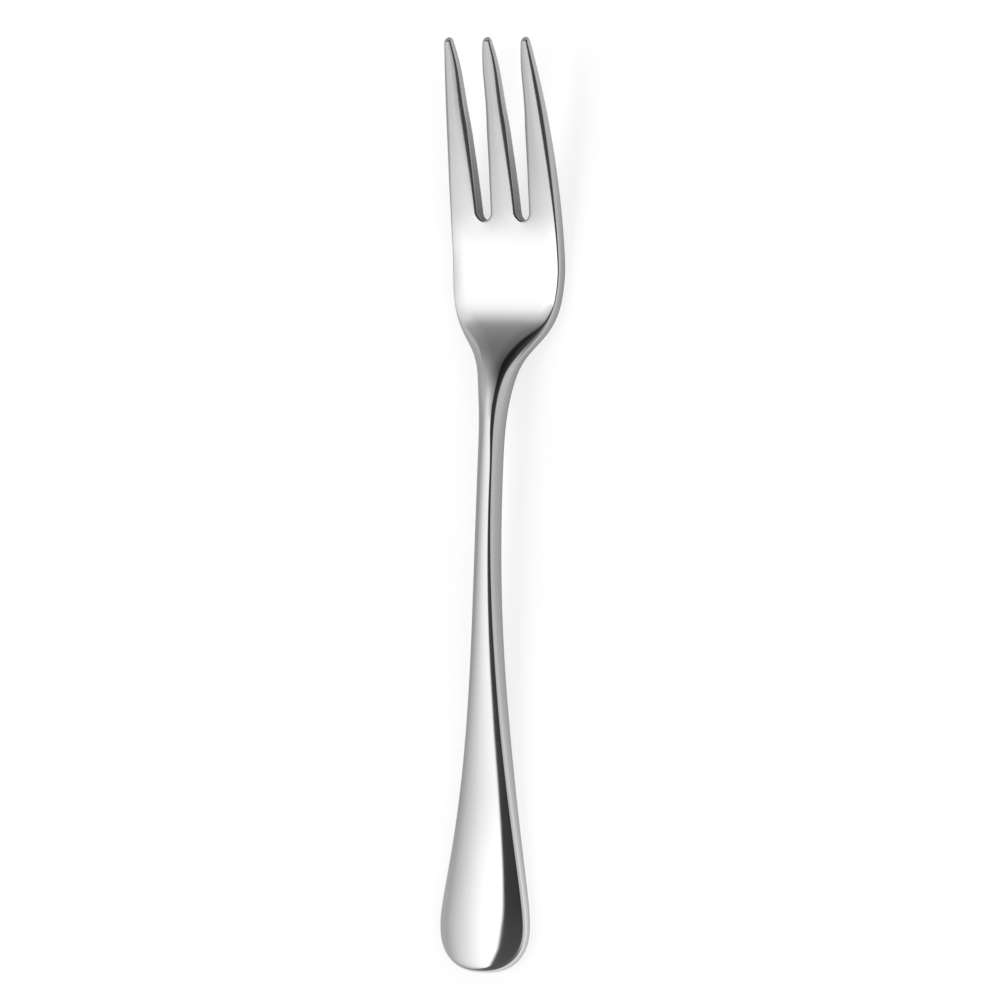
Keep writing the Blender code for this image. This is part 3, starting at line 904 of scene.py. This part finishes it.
# %% Lamp
LEFT_FADE = (-2.33, -0.05, 0.0, 1.0)
FAR_FADE = (0.0, 0.64, 1.0, 0.50)
NEAR_FADE = (-0.36, -0.70, 1.0, 0.55)
UPWARD = (0.1, 0.3)
fades = [add_node(tree, "ShaderNodeMapRange", [("Value", on_ceiling, axis)], zip(RANGE, fade),
                  interpolation_type="SMOOTHSTEP")
         for axis, fade in (("X", LEFT_FADE), ("Y", FAR_FADE), ("Y", NEAR_FADE))]
upward = add_node(tree, "ShaderNodeMapRange", [("Value", axes, "Z")], zip(RANGE, UPWARD))
lamp = inside
for share in (far_inside, *fades, upward):
    lamp = add_node(tree, "ShaderNodeMath", [(0, lamp, 0), (1, share, "Result")], operation="MULTIPLY")
print("nodes of the room so far:", len(tree.nodes))

# %% [markdown]
# The steel mirrors the tent and the lamp. The camera itself, and anything seen through glass, gets a
# plain white backdrop instead of the tent, at a strength of one.

# %% Room
LAMP_LEVEL = 2.0
level = add_node(tree, "ShaderNodeMath", [(0, lamp, "Value"), (2, tent, "Result")], [(1, LAMP_LEVEL)],
                 operation="MULTIPLY_ADD")
room = add_node(tree, "ShaderNodeBackground", [("Strength", level, "Value")], [("Color", WHITE)])
backdrop = add_node(tree, "ShaderNodeBackground", inputs=[("Color", WHITE)])
ray = add_node(tree, "ShaderNodeLightPath")
plain_view = add_node(tree, "ShaderNodeMath", [(0, ray, "Is Camera Ray"), (1, ray, "Is Transmission Ray")],
                      operation="MAXIMUM")
seen = add_node(tree, "ShaderNodeMixShader",
                [(0, plain_view, "Value"), (1, room, "Background"), (2, backdrop, "Background")])
add_node(tree, "ShaderNodeOutputWorld", [("Surface", seen, "Shader")])
print("nodes of the room:", len(tree.nodes))

# %% [markdown]
# ## The table
# The fork lies on a matt white table that takes its soft shadow. It is one square, large enough for its
# border to stay out of sight, so four points are all it needs.

# %% Table
TABLE_HALF = 9.0
floor_mesh = bpy.data.meshes.new("table")
corners_x = np.array((-1, 1, 1, -1)) * TABLE_HALF
corners_y = np.array((-1, -1, 1, 1)) * TABLE_HALF
table_points = np.stack((corners_x, corners_y, 0 * corners_x), axis=1)
floor_mesh.from_pydata(table_points.tolist(), [], [(0, 1, 2, 3)])
floor = bpy.data.objects.new("table", floor_mesh)
bpy.context.scene.collection.objects.link(floor)
print("table in m:", 2 * TABLE_HALF, "by", 2 * TABLE_HALF)

# %% [markdown]
# In the steel the table shows as a glowing white card, and its glow is painted light and shade. It is
# darker on the left and close under the fork, a painted shadow where little light gets in, and it is
# brightest at the near end, a painted pool of light, which gives the end of the handle its light rim.

# %% The table in the steel
CONTACT_REACH = 7.0 * MM
CONTACT_SAMPLES = 8
TABLE_SIDES = (-12.0 * MM, 12.0 * MM, LEFT_WHITE, 1.0)
NEAR_LIGHT = (-80.0 * MM, -15.0 * MM, 1.6, 1.0)
table = bpy.data.materials.new("white_table")
table.use_nodes = True
tree = table.node_tree
tree.nodes.clear()
where = add_node(tree, "ShaderNodeTexCoord")
axes = add_node(tree, "ShaderNodeSeparateXYZ", [("Vector", where, "Object")])
# Painted shade on the left and painted light at the near end of the card's glow.
side = add_node(tree, "ShaderNodeMapRange", [("Value", axes, "X")], zip(RANGE, TABLE_SIDES))
near_light = add_node(tree, "ShaderNodeMapRange", [("Value", axes, "Y")], zip(RANGE, NEAR_LIGHT))
openness = add_node(tree, "ShaderNodeAmbientOcclusion", inputs=[("Distance", CONTACT_REACH)],
                    samples=CONTACT_SAMPLES)
lit = add_node(tree, "ShaderNodeMath", [(0, side, "Result"), (1, near_light, "Result")],
               operation="MULTIPLY")
# Painted shadow: the glow is darkened close under the fork by its openness.
mirrored = add_node(tree, "ShaderNodeMath", [(0, openness, "AO"), (1, lit, "Value")],
                    operation="MULTIPLY")
mirror_glow = add_node(tree, "ShaderNodeEmission", [("Strength", mirrored, "Value")], [("Color", WHITE)])
print("light falls off on the table within", CONTACT_REACH / MM, "mm of the fork")

# %% [markdown]
# Three kinds of rays meet the table. The camera sees matt white paint with a little glow, so that the
# table comes out white where no shadow falls. A mirrored ray sees the card with its painted light and
# shade, and a ray that only carries light from the table to the fork sees plain matt paint.

# %% The table for each kind of ray
TABLE_PAINT = "#E7E7E7"
CAMERA_GLOW = 0.68
matt = add_node(tree, "ShaderNodeBsdfDiffuse", inputs=[("Color", linear(TABLE_PAINT))])
camera_glow = add_node(tree, "ShaderNodeEmission", inputs=[("Color", WHITE), ("Strength", CAMERA_GLOW)])
for_camera = add_node(tree, "ShaderNodeAddShader", [(0, matt, "BSDF"), (1, camera_glow, "Emission")])
ray = add_node(tree, "ShaderNodeLightPath")
in_mirror = add_node(tree, "ShaderNodeMath", [(0, ray, "Is Glossy Ray"), (1, ray, "Is Transmission Ray")],
                     operation="MAXIMUM")
in_steel = add_node(tree, "ShaderNodeMixShader",
                    [(0, in_mirror, "Value"), (1, matt, "BSDF"), (2, mirror_glow, "Emission")])
chosen = add_node(tree, "ShaderNodeMixShader",
                  [(0, ray, "Is Camera Ray"), (1, in_steel, "Shader"), (2, for_camera, "Shader")])
add_node(tree, "ShaderNodeOutputMaterial", [("Surface", chosen, "Shader")])
floor_mesh.materials.append(table)
print("nodes of the table:", len(tree.nodes))

# %% [markdown]
# ## The camera
# The fork is seen from 38 degrees to the right of straight above, from far away through a long lens, so
# that it hardly narrows with distance. The camera is turned about its own axis by two degrees. A camera
# could be placed by eye; worked out from these angles, it can be set again exactly.

# %% Where the camera looks
ROLL = np.radians(38.0)
PITCH = np.radians(-1.2)
TURN = np.radians(2.13)
toward = Vector((np.sin(ROLL) * np.cos(PITCH), np.sin(PITCH), np.cos(ROLL) * np.cos(PITCH)))
up = Vector((0, 1, 0))
up = (up - toward * up.dot(toward)).normalized()
right = up.cross(toward)
picture_right = float(np.cos(TURN)) * right + float(np.sin(TURN)) * up
picture_up = float(np.cos(TURN)) * up - float(np.sin(TURN)) * right
print("direction to the camera:", [round(value, 3) for value in toward])

# %% [markdown]
# The picture's scale is set in pixels to the millimetre, and the lens follows from it. The aim is moved
# by a few pixels from the middle of the fork, which puts the fork in its place in the picture.

# %% Camera
DISTANCE = 2.5
SENSOR_WIDTH = 36.0
PIXELS_PER_MM = 5.192
PICTURE_WIDTH = 1000
AIM_RIGHT_PIXELS = 14.3
AIM_UP_PIXELS = 5.1
aim_right = AIM_RIGHT_PIXELS / PIXELS_PER_MM * MM
aim_up = AIM_UP_PIXELS / PIXELS_PER_MM * MM
aim = (cad_box[0] + cad_box[1]) / 2 + aim_right * picture_right + aim_up * picture_up
lens = bpy.data.cameras.new("camera")
lens.sensor_width = SENSOR_WIDTH
lens.lens = PIXELS_PER_MM / MM * DISTANCE / PICTURE_WIDTH * SENSOR_WIDTH
camera = bpy.data.objects.new("camera", lens)
turned = Matrix((picture_right, picture_up, toward)).transposed().to_4x4()
camera.matrix_world = Matrix.Translation(aim + DISTANCE * toward) @ turned
bpy.context.scene.collection.objects.link(camera)
bpy.context.scene.camera = camera
bpy.context.scene.view_settings.view_transform = "Standard"
print("lens in mm:", round(lens.lens, 1))
